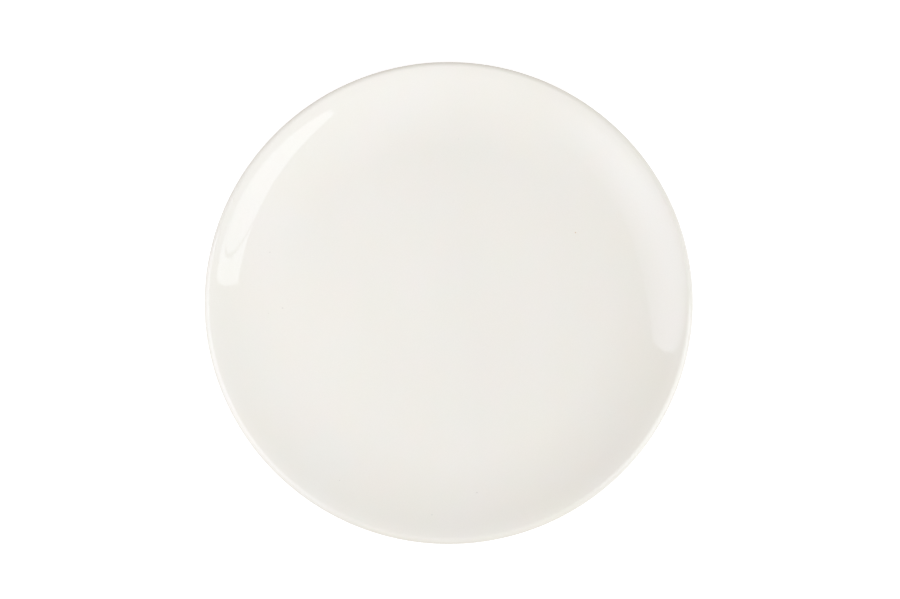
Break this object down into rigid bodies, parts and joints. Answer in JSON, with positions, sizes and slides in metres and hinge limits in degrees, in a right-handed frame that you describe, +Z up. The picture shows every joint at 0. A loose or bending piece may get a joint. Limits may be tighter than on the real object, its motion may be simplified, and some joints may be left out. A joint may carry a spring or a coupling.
{
  "type": "coupe dinner plate",
  "caption": "Round coupe dinner plate of glazed white porcelain: flat middle, low curved wall with a rounded lip and no flat rim, bare foot ring below.",
  "frame": {"origin": "centre of the standing face of the foot ring, at the bottom of the plate", "axes": "+Z up along the plate's own axis, out of the face; the plate is round, so X and Y are alike"},
  "size_m": [0.27, 0.27, 0.02],
  "materials": {
    "glaze": "glossy",
    "fired_clay": "matte"
  },
  "bodies": {
    "root": {"fired_body": "fired_clay", "outer_glaze": "glaze", "base_glaze": "glaze"}
  },
  "joints": []
}
